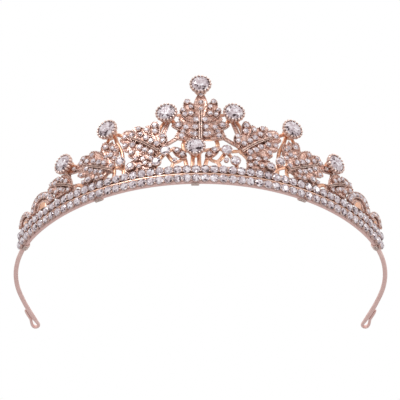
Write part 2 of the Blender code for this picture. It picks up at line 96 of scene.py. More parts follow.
# Openwork frame: wires as runs of (along, high), right-hand side
BAND_LOW = 3.6
BAND_HIGH = 8.0
WIRE_FOOT = 7.6
WIRE_HALF_WIDTH = 0.8
ARCH_FOOT = 8.1
ARCH_LEAN = 0.25
PAIRED_WIRES = (
    ((0.0, 23.5), (4.0, 24.7), (10.4, 27.6)),
    ((0.0, 20.5), (4.0, 20.5), (8.6, 21.1)),
    ((0.0, 29.5), (3.0, 30.9), (9.0, 32.5)),
    ((10.6, 29.9), (9.8, 27.9), (8.2, 26.1)),
    ((13.7, 29.7), (15.4, 26.5), (16.2, 22.5), (15.0, 16.5), (15.8, 14.5)),
    ((5.6, 20.7), (6.5, 18.1), (6.0, 14.1)),
    ((15.6, 14.9), (23.0, 21.0), (32.6, 27.8)),
    ((15.8, 14.9), (18.2, 11.9), (18.8, WIRE_FOOT)),
    ((26.6, WIRE_FOOT), (26.4, 10.5), (24.0, 15.0), (21.6, 19.8)),
    ((33.6, 27.1), (32.6, 23.5), (30.6, 18.5), (30.0, 13.0), (29.6, WIRE_FOOT)),
    ((36.3, 26.7), (37.0, 23.5), (34.6, 17.0), (33.6, 10.9), (33.8, WIRE_FOOT)),
    ((27.4, WIRE_FOOT), (30.3, 10.7), (33.6, 12.1), (36.4, 10.7), (38.0, WIRE_FOOT)),
    ((33.6, 10.1), (42.0, 14.8), (52.4, 20.3)),
    ((42.0, 14.8), (45.6, 11.3), (45.8, WIRE_FOOT)),
    ((54.8, 18.5), (54.2, 14.5), (52.8, 10.3), (51.8, WIRE_FOOT)),
    ((46.6, WIRE_FOOT), (49.8, 10.1), (53.4, 10.5), (58.6, 12.9), (65.0, 16.8)),
    ((57.4, 12.3), (60.4, WIRE_FOOT)),
)
CENTRE_WIRES = (
    ((1.3, WIRE_FOOT), (1.2, 10.5), (1.2, 14.5)),
    ((0.0, 14.5), (8.4, 16.0), (11.4, 14.9), (16.8, 15.9)),
    ((8.4, 16.0), (4.6, 11.9), (3.4, WIRE_FOOT)),
    ((4.6, 11.9), (6.4, 10.3), (8.6, 10.4), (11.4, 14.9)),
    ((8.0, 10.3), (9.2, WIRE_FOOT)),
    ((11.4, 14.9), (14.8, 10.4), (15.4, WIRE_FOOT)),
)
SPINE_WIRE = ((LOW_CENTRE, 13.5), (-1.2, 17.5), (0.0, 21.5), (0.0, 42.4))
# Broad bars that fill the openwork, right-hand side: (half width, run of (along, high))
BROAD_BARS = (
    (1.3, ((28.6, 8.9), (23.0, 9.0), (17.4, 9.0))),
    (1.6, ((26.4, 11.6), (22.0, 11.6), (17.6, 12.6))),
    (1.4, ((46.4, 9.0), (42.0, 9.0), (37.6, 9.4))),
    (1.9, ((-0.5, 21.8), (5.0, 22.4), (9.0, 23.6))),
    (1.3, ((49.0, 17.2), (51.6, 17.6), (54.4, 18.2))),
    (1.6, ((51.0, 9.2), (57.0, 10.4), (62.5, 13.4))),
    (0.7, ((8.8, 21.0), (12.0, 18.9), (15.6, 17.0))),
    (0.8, ((12.3, 28.6), (13.6, 24.8), (14.9, 21.0))),
    (0.9, ((35.2, 24.4), (33.8, 20.6), (32.2, 17.4))),
)
# Small stones on the bars, right-hand side: (along, high, radius)
BAR_STONES = (
    (27.4, 9.2, 0.9), (24.4, 13.2, 0.95), (21.6, 12.4, 0.95), (20.7, 10.3, 0.85), (18.5, 12.2, 0.9),
    (18.7, 8.9, 0.8), (23.1, 9.3, 0.85), (40.4, 8.9, 0.85), (38.2, 8.8, 0.75), (46.4, 9.2, 0.75),
    (3.2, 22.4, 0.85), (6.4, 23.4, 0.85), (53.6, 9.0, 0.85), (56.2, 10.0, 0.85), (59.0, 11.6, 0.85),
    (34.3, 12.6, 0.95), (32.8, 19.4, 0.8), (33.0, 15.8, 0.85), (36.4, 17.6, 0.8),
    (14.6, 21.9, 0.85), (51.0, 17.6, 0.7), (9.6, 10.0, 0.8),
)

# Blades of each leaf, right-hand side: (start, end, half width, sideways bend)
BLADES = {
    "great_leaf": (
        ((17.0, 15.6), (20.8, 28.2), 2.6, 1.6),
        ((20.0, 18.4), (25.8, 28.4), 2.3, 1.2),
        ((23.2, 20.8), (30.0, 26.8), 2.1, 0.7),
        ((18.0, 14.4), (24.6, 14.6), 2.1, -0.9),
        ((20.6, 16.8), (27.6, 15.6), 2.2, -0.9),
        ((23.6, 19.4), (29.8, 19.2), 2.1, -0.5),
        ((24.6, 21.8), (31.2, 24.0), 2.0, 0.0),
    ),
    "second_great_leaf": (
        ((35.2, 11.4), (39.8, 21.4), 2.4, 1.5),
        ((38.2, 13.2), (44.2, 22.2), 2.3, 1.1),
        ((41.4, 15.0), (48.4, 21.0), 2.1, 0.7),
        ((36.4, 10.4), (42.4, 9.4), 1.8, -0.7),
        ((39.4, 12.0), (46.2, 10.8), 2.1, -0.8),
        ((42.4, 14.2), (49.4, 13.8), 2.0, -0.5),
        ((43.6, 16.4), (50.8, 18.0), 2.0, 0.0),
    ),
    "fan_leaf": (
        ((53.0, 10.6), (58.6, 17.2), 2.0, 0.9),
        ((55.4, 11.6), (63.2, 17.0), 2.1, 0.6),
        ((57.2, 12.0), (65.6, 14.0), 2.0, 0.3),
        ((54.6, 9.9), (61.6, 9.4), 1.7, -0.4),
    ),
    "upright_leaf": (
        ((16.7, 21.2), (17.2, 30.0), 2.1, -0.3),
        ((14.2, 16.6), (13.7, 23.0), 1.3, 0.4),
    ),
    "second_upright_leaf": (
        ((34.2, 15.6), (37.6, 25.2), 2.0, -0.7),
        ((33.9, 16.0), (32.9, 22.8), 1.6, 0.6),
    ),
    "wing_leaf": (((2.6, 23.6), (11.0, 26.9), 2.3, 0.6),),
    "bud_leaf": (((3.6, 20.3), (9.6, 21.0), 1.7, 0.3),),
}
CENTRE_BLADES = (
    ((0.8, 21.6), (6.6, 25.0), 1.9, -0.4),
    ((0.6, 25.0), (8.0, 30.6), 2.2, -0.6),
    ((0.6, 28.0), (7.4, 34.6), 2.2, -0.8),
    ((0.5, 30.5), (5.6, 38.6), 2.2, -0.9),
)
CENTRE_TIP_BLADE = ((0.0, 29.0), (0.2, 42.2), 2.8, 0.0)

# Plates behind the blades, right-hand side: (start, end, half width)
PLATES = {
    "great_leaf": ((16.4, 14.4), (29.8, 25.6), 5.4),
    "second_great_leaf": ((34.2, 10.4), (49.4, 18.8), 4.6),
    "fan_leaf": ((52.6, 10.2), (63.4, 15.6), 3.2),
}
CENTRE_PLATE = ((0.0, 19.0), (0.0, 40.0), 5.6)

# Spines: two thin ridges side by side, with the groove between them
SPINES = {
    "great_leaf": ((15.6, 14.8), (21.6, 19.9), (26.6, 23.2)),
    "second_great_leaf": ((33.8, 10.2), (40.4, 13.9), (46.4, 16.8)),
    "fan_leaf": ((51.6, 9.6), (57.4, 13.0), (62.6, 15.0)),
}

# Small stones set in each leaf, right-hand side: (along, high, radius)
PAVE = {
    "great_leaf": (
        (16.2, 18.4, 1.07), (18.4, 20.1, 1.07), (20.4, 21.9, 1.07), (22.4, 24.0, 0.96),
        (18.4, 14.6, 1.07), (20.7, 16.1, 1.07), (22.7, 17.9, 1.07), (25.6, 19.6, 1.07),
        (26.0, 16.0, 0.96), (28.5, 20.0, 0.9), (26.0, 24.4, 1.02), (28.6, 24.2, 0.96),
        (23.4, 26.8, 0.9), (20.2, 25.6, 0.9),
    ),
    "second_great_leaf": (
        (37.1, 14.5, 1.07), (39.4, 15.7, 1.07), (41.7, 17.1, 1.07), (38.3, 10.8, 0.9),
        (40.5, 11.6, 1.02), (42.7, 13.0, 1.02), (44.9, 14.6, 1.02), (44.6, 18.2, 1.02),
        (47.4, 18.4, 0.96), (47.2, 12.6, 0.9), (42.4, 20.2, 0.9), (46.2, 20.0, 0.85),
    ),
    "fan_leaf": (
        (54.6, 13.2, 0.96), (56.6, 14.8, 0.9), (58.6, 16.0, 0.9), (60.4, 14.9, 0.96),
        (62.6, 15.6, 0.85), (57.0, 10.4, 0.9), (59.6, 10.5, 0.9), (62.6, 12.6, 0.9),
    ),
    "upright_leaf": ((16.9, 24.4, 1.07), (17.1, 27.2, 1.07), (13.8, 21.6, 0.9), (14.0, 19.4, 0.96)),
    "second_upright_leaf": ((36.6, 21.8, 1.02), (33.6, 20.4, 0.9), (34.4, 17.4, 1.07)),
    "wing_leaf": ((5.4, 25.0, 1.02), (8.2, 26.2, 1.07)),
    "bud_leaf": ((6.9, 20.9, 1.07),),
}
CENTRE_PAVE = (
    (1.7, 28.5, 1.07), (2.0, 25.0, 1.07), (2.0, 21.6, 1.07), (3.6, 31.6, 0.96),
    (5.8, 31.3, 0.9), (6.6, 33.4, 0.79), (4.9, 37.4, 0.96), (3.6, 34.9, 0.85),
)
CENTRE_TIP_PAVE = ((0.2, 36.7, 0.9), (0.2, 40.6, 0.85), (0.1, 33.6, 0.79))
# Buds beside the low stone, counted from its middle: (start, end, half width), then their stones
MARQUISE = ((3.6, 10.9), (8.9, 16.4), 1.9)
MARQUISE_STONES = ((4.9, 12.5, 1.0), (6.9, 14.5, 1.05))


# ---- hoop geometry


def hoop_point(along):
    """(x, y, angle) of the hoop's centre line, with y counted from the front centre."""
    run = abs(along)
    if run <= FRONT_HALF_ARC:
        angle = run / FRONT_RADIUS
        x = FRONT_RADIUS * math.sin(angle)
        y = FRONT_RADIUS * (1 - math.cos(angle))
    else:
        turn = FRONT_TURN
        angle = turn + (run - FRONT_HALF_ARC) / SIDE_RADIUS
        x = FRONT_RADIUS * math.sin(turn) + SIDE_RADIUS * (math.sin(angle) - math.sin(turn))
        y = FRONT_RADIUS * (1 - math.cos(turn)) + SIDE_RADIUS * (math.cos(turn) - math.cos(angle))
    side = math.copysign(1.0, along)
    return side * x, y, side * angle


def crest_point(along, out, high):
    """A crest place (along the hoop, outwards, up) in metres, in the row frame."""
    x, y, angle = hoop_point(along)
    x += out * math.sin(angle)
    y -= out * math.cos(angle)
    return Vector((x, y - ORIGIN_BEHIND_FRONT, high)) * MM


def crest_place(point):
    """The reverse of crest_point: (along, out, high) of a point in the row frame."""
    x, y = abs(point[0]) / MM, point[1] / MM + ORIGIN_BEHIND_FRONT
    angle = math.atan2(x, FRONT_RADIUS - y)
    if angle <= FRONT_TURN:
        along = angle * FRONT_RADIUS
        out = math.hypot(x, FRONT_RADIUS - y) - FRONT_RADIUS
    else:
        shift = FRONT_RADIUS - SIDE_RADIUS
        across = x - shift * math.sin(FRONT_TURN)
        deep = FRONT_RADIUS - shift * math.cos(FRONT_TURN) - y
        angle = math.atan2(across, deep)
        along = FRONT_HALF_ARC + (angle - FRONT_TURN) * SIDE_RADIUS
        out = math.hypot(across, deep) - SIDE_RADIUS
    return math.copysign(along, point[0]), out, point[2] / MM


def facing(along, out, high):
    """A frame in millimetres at a crest place: X runs along the hoop, Y up and Z outwards."""
    turn = Matrix.Rotation(hoop_point(along)[2], 4, "Z") @ Matrix.Rotation(math.pi / 2, 4, "X")
    return Matrix.Translation(crest_point(along, out, high)) @ turn @ Matrix.Scale(MM, 4)


def node_place(node):
    """The crest place of a CAD node's middle."""
    low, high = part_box(node)
    return crest_place((low + high) / 2)


def mirrored(places, sign, centre=0.0):
    """Right-hand (along, high) places, put on the side that sign gives."""
    return [(centre + sign * along, high) for along, high in places]


def smooth_path(corners, steps):
    """A Catmull-Rom curve through the corners."""
    knots = [Vector(corner) for corner in corners]
    knots = [2 * knots[0] - knots[1], *knots, 2 * knots[-1] - knots[-2]]
    path = []
    for before, start, end, after in zip(knots, knots[1:], knots[2:], knots[3:]):
        for step in range(steps):
            t = step / steps
            pull = (end - before) * t + (2 * before - 5 * start + 4 * end - after) * t**2
            path.append(start + 0.5 * (pull + (3 * start - before - 3 * end + after) * t**3))
    path.append(knots[-2])
    return path


def across_path(path, index):
    """The unit direction square to a flat path at one of its points."""
    heading = path[min(index + 1, len(path) - 1)] - path[max(index - 1, 0)]
    return Vector((-heading.y, heading.x)).normalized()


# ---- mesh building

BALL_STEPS = 6
BALL_SIDES = 8
# Brilliant cut, on a stone of radius 1
CUT = 8
TABLE_RADIUS, TABLE_DEPTH = 0.55, 0.34
STAR_RADIUS, STAR_DEPTH = 0.80, 0.21
GIRDLE_TOP, GIRDLE_FOOT = 0.03, -0.05
CULET_DEPTH = -0.5
# The table facet's painted reflection, the same on every stone
TABLE_REFLECTION = 0.75


def placed(name, data):
    """A new object in the scene."""
    obj = bpy.data.objects.new(name, data)
    bpy.context.scene.collection.objects.link(obj)
    return obj


class Shape:
    """Gathers closed solids into one mesh in the row frame, each face with a painted reflection value from 0
    to 1 that the crystal material reads.
    """

    def __init__(self):
        self.points, self.faces, self.painted_reflections = [], [], []

    def add(self, points, faces, painted_reflections=None):
        """Adds one solid."""
        start = len(self.points)
        self.points += points
        self.faces += [tuple(start + i for i in face) for face in faces]
        self.painted_reflections += painted_reflections or [0.5] * len(faces)

    def loft(self, sections):
        """Joins equal closed rings of points and closes both ends."""
        count = len(sections[0])
        points = [point for ring in sections for point in ring]
        last = (len(sections) - 1) * count
        faces = []
        for low in range(0, last, count):
            high = low + count
            for step in range(count):
                after = (step + 1) % count
                faces.append((low + step, low + after, high + after, high + step))
        faces.append(tuple(reversed(range(count))))
        faces.append(tuple(range(last, last + count)))
        self.add(points, faces)

    def piece(self, name, material, slot, smooth=40.0, body=CREST, stands_for=()):
        """Turns the gathered solids into a named piece that rides on a body."""
        mesh = bpy.data.meshes.new(name)
        mesh.from_pydata(self.points, [], self.faces)
        painted_reflection = mesh.attributes.new("painted_reflection", "FLOAT", "FACE")
        painted_reflection.data.foreach_set("value", self.painted_reflections)
        shape = bmesh.new()
        shape.from_mesh(mesh)
        bmesh.ops.recalc_face_normals(shape, faces=shape.faces)
        shape.to_mesh(mesh)
        shape.free()
        mesh.materials.append(material)
        if smooth:
            mesh.shade_smooth()
            mesh.set_sharp_from_angle(angle=math.radians(smooth))
        obj = placed(name, mesh)
        if body:
            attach(obj, body)
        if stands_for:
            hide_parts(*stands_for)
        return obj


def turned(shape, matrix, rings, sides):
    """Adds a round solid; its rings are (radius, depth) along the matrix's Z axis."""
    sections = []
    for radius, depth in rings:
        ring = []
        for step in range(sides):
            angle = math.tau * step / sides
            ring.append(matrix @ Vector((radius * math.cos(angle), radius * math.sin(angle), depth)))
        sections.append(ring)
    shape.loft(sections)


def ball(shape, matrix, radius):
    """Adds a small bead."""
    rings = []
    for step in range(1, BALL_STEPS):
        angle = math.pi * step / BALL_STEPS
        rings.append((radius * math.sin(angle), -radius * math.cos(angle)))
    turned(shape, matrix, rings, BALL_SIDES)


def brilliant(shape, matrix, radius, dice):
    """Adds a round brilliant-cut crystal: table, stars, kites, girdle and pavilion."""
    table, middle, rim = [], [], []
    for k in range(CUT):
        angle = math.tau * k / CUT
        half = math.tau * (k + 0.5) / CUT
        table.append(Vector((TABLE_RADIUS * math.cos(angle), TABLE_RADIUS * math.sin(angle), TABLE_DEPTH)))
        middle.append(Vector((STAR_RADIUS * math.cos(half), STAR_RADIUS * math.sin(half), STAR_DEPTH)))
    for k in range(2 * CUT):
        angle = math.pi * k / CUT
        rim.append(Vector((math.cos(angle), math.sin(angle), GIRDLE_TOP)))
    low = [Vector((point.x, point.y, GIRDLE_FOOT)) for point in rim]
    points = table + middle + rim + low + [Vector((0, 0, CULET_DEPTH))]
    star, girdle, foot, culet = CUT, 2 * CUT, 4 * CUT, 6 * CUT
    faces = [tuple(range(CUT))]
    for k in range(CUT):
        after, before = (k + 1) % CUT, (k - 1) % CUT
        faces.append((k, star + k, after))
        faces.append((k, star + before, girdle + 2 * k, star + k))
        faces.append((star + k, girdle + 2 * k, girdle + 2 * k + 1))
        faces.append((star + k, girdle + 2 * k + 1, girdle + (2 * k + 2) % (2 * CUT)))
    for k in range(2 * CUT):
        after = (k + 1) % (2 * CUT)
        faces.append((girdle + k, foot + k, foot + after, girdle + after))
        faces.append((foot + k, culet, foot + after))
    # Painted reflection: a random light or dark for each facet, and a fixed one for the table
    painted_reflections = [dice.random() for _ in faces]
    painted_reflections[0] = TABLE_REFLECTION
    shape.add([matrix @ (point * radius) for point in points], faces, painted_reflections)


# ---- materials

# Features in a millimetre, and the stretch of each texture's values that takes effect
PATCHES_PER_MM, PATCH_WINDOW = 0.5, (0.35, 0.65)
PITS_PER_MM, PIT_WINDOW = 1.3, (0.54, 0.66)
BEADS_PER_MM, SEAM_WINDOW = 1.25, (0.38, 0.68)
FACETS_PER_MM = 1.5
HAZE_PER_MM = 1.5
PORE_WINDOW = (0.3, 0.7)
# Painted shade in recesses: how far the occlusion looks, and the stretch of its values that takes effect
PAINTED_SHADE_REACH, PAINTED_SHADE_WINDOW = 0.9, (0.15, 0.65)
EDGE_WINDOW, EDGE_WEAR = (0.53, 0.62), 0.6
WORN_EDGE = (0.96, 0.80, 0.72)
SEAM_RELIEF = 4

# Painted reflections: the light or dark each crystal facet is painted with, from the darkest to the
# brightest: (position, colour)
FACET_LIGHT = (
    (0.22, (0.035, 0.012, 0.016)),
    (0.29, (0.20, 0.12, 0.14)),
    (0.42, (0.50, 0.40, 0.43)),
    (0.66, (0.68, 0.59, 0.62)),
    (0.85, (0.93, 0.91, 0.95)),
)


def new_material(name):
    """A material with its nodes, its links and its Principled shader."""
    material = bpy.data.materials.new(name)
    material.use_nodes = True
    nodes = material.node_tree.nodes
    return material, nodes, material.node_tree.links, nodes["Principled BSDF"]


def mixed(nodes, links, factor, first, second):
    """A mix of two colours, each plain or another node's output."""
    mix = nodes.new("ShaderNodeMix")
    mix.data_type = "RGBA"
    links.new(factor, mix.inputs["Factor"])
    for socket, colour in ((mix.inputs["A"], first), (mix.inputs["B"], second)):
        if isinstance(colour, tuple):
            socket.default_value = (*colour, 1.0)
        else:
            links.new(colour, socket)
    return mix.outputs["Result"]


def combined(nodes, links, operation, first, second):
    """Two values brought together by a Math node."""
    maths = nodes.new("ShaderNodeMath")
    maths.operation = operation
    links.new(first, maths.inputs[0])
    links.new(second, maths.inputs[1])
    return maths.outputs["Value"]


def spread(nodes, links, value, low, high, window=(0.0, 1.0)):
    """value, clamped to the window, mapped to low and high."""
    remap = nodes.new("ShaderNodeMapRange")
    links.new(value, remap.inputs["Value"])
    remap.inputs["From Min"].default_value = window[0]
    remap.inputs["From Max"].default_value = window[1]
    remap.inputs["To Min"].default_value = low
    remap.inputs["To Max"].default_value = high
    return remap.outputs["Result"]


def colour_ramp(nodes, links, value, stops):
    """The colour that (position, colour) stops give a value."""
    ramp = nodes.new("ShaderNodeValToRGB")
    elements = ramp.color_ramp.elements
    for element, (position, colour) in zip(elements, (stops[0], stops[-1])):
        element.position = position
        element.color = (*colour, 1)
    for position, colour in stops[1:-1]:
        elements.new(position).color = (*colour, 1)
    links.new(value, ramp.inputs["Fac"])
    return ramp.outputs["Color"]


def texture(nodes, links, kind, scale):
    """A texture node in object space, with scale features in a millimetre."""
    place = nodes.new("ShaderNodeTexCoord")
    mapping = nodes.new("ShaderNodeMapping")
    mapping.inputs["Scale"].default_value = [scale / MM] * 3
    links.new(place.outputs["Object"], mapping.inputs["Vector"])
    node = nodes.new(kind)
    node.inputs["Scale"].default_value = 1.0
    links.new(mapping.outputs["Vector"], node.inputs["Vector"])
    return node


def noise(nodes, links, scale, detail=3.0):
    """The value of a soft noise."""
    node = texture(nodes, links, "ShaderNodeTexNoise", scale)
    node.inputs["Detail"].default_value = detail
    return node.outputs["Fac"]


def metal(name, light, deep, pits_and_painted_shade, rough, grain, grain_depth, metallic, pitting, beading=0.0):
    """Plated metal: patchy tint, dark pits, painted shade in recesses, worn edges, a fine grain and fine
    beading.
    """
    material, nodes, links, shader = new_material(name)
    patches = spread(nodes, links, noise(nodes, links, PATCHES_PER_MM), 0, 1, PATCH_WINDOW)
    tint = mixed(nodes, links, patches, deep, light)
    pits = spread(nodes, links, noise(nodes, links, PITS_PER_MM, 2.0), 0, pitting, PIT_WINDOW)
    pitted = mixed(nodes, links, pits, tint, pits_and_painted_shade)
    bead = texture(nodes, links, "ShaderNodeTexVoronoi", BEADS_PER_MM).outputs["Distance"]
    beaded = mixed(nodes, links, spread(nodes, links, bead, 0, beading, SEAM_WINDOW), pitted, pits_and_painted_shade)
    # Painted shade: ambient occlusion darkens crevices and recesses towards the darkest colour
    hollow = nodes.new("ShaderNodeAmbientOcclusion")
    hollow.samples = 6
    hollow.inputs["Distance"].default_value = PAINTED_SHADE_REACH * MM
    open_sky = spread(nodes, links, hollow.outputs["AO"], 0, 1, PAINTED_SHADE_WINDOW)
    shaded = mixed(nodes, links, open_sky, pits_and_painted_shade, beaded)
    geometry = nodes.new("ShaderNodeNewGeometry")
    edge = spread(nodes, links, geometry.outputs["Pointiness"], 0, EDGE_WEAR, EDGE_WINDOW)
    links.new(mixed(nodes, links, edge, shaded, WORN_EDGE), shader.inputs["Base Color"])
    pores = noise(nodes, links, grain, 4.0)
    links.new(spread(nodes, links, pores, *rough, PORE_WINDOW), shader.inputs["Roughness"])
    relief = combined(nodes, links, "SUBTRACT", pores, spread(nodes, links, bead, 0, SEAM_RELIEF * beading))
    bump = nodes.new("ShaderNodeBump")
    bump.inputs["Strength"].default_value = 1.0
    bump.inputs["Distance"].default_value = grain_depth * MM
    links.new(relief, bump.inputs["Height"])
    links.new(bump.outputs["Normal"], shader.inputs["Normal"])
    shader.inputs["Metallic"].default_value = metallic
    return material


def crystal(name):
    """Foil-backed crystal with painted reflections: each facet, and each of the facets seen through it, is
    painted with its own light or dark.
    """
    material, nodes, links, shader = new_material(name)
    facet = nodes.new("ShaderNodeAttribute")
    facet.attribute_name = "painted_reflection"
    # Painted reflections of the facets seen through the stone, added to each facet's own
    split = nodes.new("ShaderNodeSeparateColor")
    facets = texture(nodes, links, "ShaderNodeTexVoronoi", FACETS_PER_MM)
    links.new(facets.outputs["Color"], split.inputs["Color"])
    total = combined(nodes, links, "ADD", facet.outputs["Fac"], split.outputs["Red"])
    light = colour_ramp(nodes, links, spread(nodes, links, total, 0, 1, (0, 2)), FACET_LIGHT)
    links.new(light, shader.inputs["Base Color"])
    haze = noise(nodes, links, HAZE_PER_MM, 2.0)
    links.new(spread(nodes, links, haze, 0.06, 0.2), shader.inputs["Roughness"])
    shader.inputs["Metallic"].default_value = 0.1
    shader.inputs["IOR"].default_value = 1.7
    shader.inputs["Coat Weight"].default_value = 0.15
    shader.inputs["Coat Roughness"].default_value = 0.05
    return material


# Each metal's darkest colour darkens its pits and bead seams, and is also the painted shade in its recesses.
ROSE = metal(
    "rose_gold", light=(0.97, 0.71, 0.63), deep=(0.88, 0.56, 0.45), pits_and_painted_shade=(0.20, 0.06, 0.03),
    rough=(0.24, 0.45), grain=2.2, grain_depth=0.04, metallic=0.85, pitting=0.45, beading=0.55,
)
BAND = metal(
    "rose_gold_band", light=(0.90, 0.56, 0.42), deep=(0.82, 0.44, 0.27), pits_and_painted_shade=(0.24, 0.08, 0.03),
    rough=(0.32, 0.5), grain=2.0, grain_depth=0.03, metallic=0.9, pitting=0.5,
)
SATIN = metal(
    "satin_rose", light=(0.85, 0.595, 0.55), deep=(0.80, 0.54, 0.50), pits_and_painted_shade=(0.68, 0.46, 0.42),
    rough=(0.45, 0.6), grain=1.6, grain_depth=0.01, metallic=0.2, pitting=0.12,
)
# A darker copy of the rose gold for cups, rims and edge beads: painted shade that outlines the stones, blades
# and arches.
PAINTED_SHADE_RIM = metal(
    "shaded_rim", light=(0.70, 0.48, 0.44), deep=(0.50, 0.29, 0.25), pits_and_painted_shade=(0.07, 0.02, 0.012),
    rough=(0.25, 0.45), grain=2.2, grain_depth=0.03, metallic=0.9, pitting=0.6,
)
CLAW = metal(
    "rose_claws", light=(0.92, 0.68, 0.62), deep=(0.76, 0.50, 0.44), pits_and_painted_shade=(0.13, 0.045, 0.03),
    rough=(0.28, 0.45), grain=2.2, grain_depth=0.02, metallic=0.85, pitting=0.4,
)
CRYSTAL = crystal("crystal")


# ---- hoop bar

BAR_SIDES = 20
BAR_SQUARENESS = 0.95
HEADBAND_STEPS = 80
LEG_STEPS = 44
CURL_STEPS = 16
RETURN_STEPS = 16
END_STEPS = 5
END_BLUNTNESS = 0.15


def bar_place(along, out=0.0):
    """A place on the hoop, seen from above, as (x, y) from the front centre."""
    x, y, angle = hoop_point(along)
    return Vector((x + out * math.sin(angle), y - out * math.cos(angle)))


def bar_sections(path, heights, thicknesses):
    """Rounded rings that follow a path of (x, y)."""
    sections = []
    for index, place in enumerate(path):
        across = -across_path(path, index)
        ring = []
        for step in range(BAR_SIDES):
            angle = math.tau * step / BAR_SIDES
            turn, climb = math.cos(angle), math.sin(angle)
            out = thicknesses[index] / 2 * math.copysign(abs(turn) ** BAR_SQUARENESS, turn)
            up = heights[index] / 2 * math.copysign(abs(climb) ** BAR_SQUARENESS, climb)
            flat = place + across * out
            ring.append(Vector((flat.x, flat.y - ORIGIN_BEHIND_FRONT, BAR_HIGH + up)) * MM)
        sections.append(ring)
    return sections


def make_headband():
    """The front part of the hoop bar, under the crest."""
    steps = range(-HEADBAND_STEPS, HEADBAND_STEPS + 1)
    path = [bar_place(LEG_ROOT * step / HEADBAND_STEPS) for step in steps]
    shape = Shape()
    shape.loft(bar_sections(path, [BAR_HEIGHT] * len(path), [BAR_THICKNESS] * len(path)))
    shape.piece("headband", SATIN, "pale_rose_band", stands_for=["headband_bar"])


def leg_places():
    """(along, out) places: down the leg, round the curl and back along its outer side."""
    tip = HOOP_HALF_LENGTH - CURL_RADIUS
    places = [(LEG_ROOT + (tip - LEG_ROOT) * step / LEG_STEPS, 0.0) for step in range(LEG_STEPS)]
    for step in range(CURL_STEPS + 1):
        angle = math.pi * step / CURL_STEPS - math.pi / 2
        places.append((tip + CURL_RADIUS * math.cos(angle), CURL_RADIUS * (1 + math.sin(angle))))
    close = (BAR_THICKNESS + LEG_END_THICKNESS) / 2
    for step in range(1, RETURN_STEPS + 1):
        run = CURL_RETURN * step / RETURN_STEPS
        t = min(1.0, run / CURL_CLOSING)
        ease = t * t * (3 - 2 * t)
        places.append((tip - run, 2 * CURL_RADIUS + (close - 2 * CURL_RADIUS) * ease))
    flare = FLARE / (tip - FLARE_START) ** 2
    return [(along, out + flare * max(0.0, along - FLARE_START) ** 2) for along, out in places]


def make_leg(side, sign):
    """A sprung leg with its curled end."""
    places = leg_places()
    path = [bar_place(sign * along, out) for along, out in places]
    thinning = HOOP_HALF_LENGTH - CURL_RADIUS - CURL_CLOSING
    heights, thicknesses = [], []
    for index, (along, _) in enumerate(places):
        t = 1.0 if index > LEG_STEPS else max(0.0, (along - thinning) / CURL_CLOSING)
        close = max(0.0, (index - (len(places) - 1 - END_STEPS)) / END_STEPS)
        round_end = math.sqrt(max(0.0, 1 - close**2)) * (1 - END_BLUNTNESS) + END_BLUNTNESS
        heights.append((BAR_HEIGHT + (LEG_END_HEIGHT - BAR_HEIGHT) * t) * round_end)
        thicknesses.append((BAR_THICKNESS + (LEG_END_THICKNESS - BAR_THICKNESS) * t) * round_end)
    shape = Shape()
    shape.loft(bar_sections(path, heights, thicknesses))
    leg = side + "_leg"
    piece = shape.piece(side + "_sprung_leg", SATIN, "pale_rose_band", body=None, stands_for=[leg])
    start = crest_point(sign * LEG_ROOT, 0, BAR_HIGH)
    end = crest_point(sign * (LEG_ROOT + BLEND_RUN), 0, BAR_HIGH)
    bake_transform(piece)


# ---- settings

# Cup of a small stone, back to front: (share of the stone's radius, added radius, depth)
STONE_CUP = (
    (0.6, 0.0, -0.7),
    (1.0, 0.12, -0.6),
    (1.0, 0.24, 0.1),
    (1.0, 0.22, 0.38),
    (1.0, 0.08, 0.5),
    (1.0, -0.06, 0.4),
    (0.5, 0.0, 0.1),
)
STONE_CUP_SIDES = 16
STONE_SEAT = 0.42
STONE_WOBBLE = 0.15
CLAW_REACH, CLAW_DEPTH, CLAW_RADIUS = 0.05, 0.5, 0.24


class Setting:
    """The metal, the rims and cups in a darker metal that is painted shade, and the stones of one ornament.
    """

    def __init__(self):
        self.metal, self.rims, self.stones = Shape(), Shape(), Shape()

    def pieces(self, name, node=None):
        """Makes the ornament's pieces; the metal one stands for the CAD node."""
        nodes = (node,) if node else ()
        self.metal.piece(name + "_metal", ROSE, "rose_gold", stands_for=nodes)
        if self.rims.points:
            self.rims.piece(name + "_rims", PAINTED_SHADE_RIM, "rose_gold")
        if self.stones.points:
            self.stones.piece(name + "_stones", CRYSTAL, "crystal", smooth=0)


def stone_in_cup(setting, along, high, radius, dice, out, claws=4):
    """A small crystal held in a cup by claws."""
    at = facing(along, out, high)
    rings = [(share * radius + more, depth) for share, more, depth in STONE_CUP]
    turned(setting.rims, at, rings, STONE_CUP_SIDES)
    first = dice.uniform(0, math.tau)
    reach = radius + CLAW_REACH
    for claw in range(claws):
        angle = first + math.tau * claw / claws
        spot = Matrix.Translation((reach * math.cos(angle), reach * math.sin(angle), CLAW_DEPTH))
        ball(setting.metal, at @ spot, CLAW_RADIUS)
    spin = Matrix.Rotation(dice.uniform(0, math.tau), 4, "Z")
    tilt = Matrix.Rotation(dice.uniform(-STONE_WOBBLE, STONE_WOBBLE), 4, "X")
    brilliant(setting.stones, at @ Matrix.Translation((0, 0, STONE_SEAT)) @ spin @ tilt, radius, dice)


def tube(shape, path, half_width, half_depth, out, sides=10):
    """A round-edged wire along a path of (along, high)."""
    sections = []
    for index, place in enumerate(path):
        across = across_path(path, index)
        ring = []
        for side in range(sides):
            angle = math.tau * side / sides
            spot = place + across * (half_width * math.cos(angle))
            ring.append(crest_point(spot.x, out + half_depth * math.sin(angle), spot.y))
        sections.append(ring)
    shape.loft(sections)


# ---- leaves

BLADE_STEPS = 16
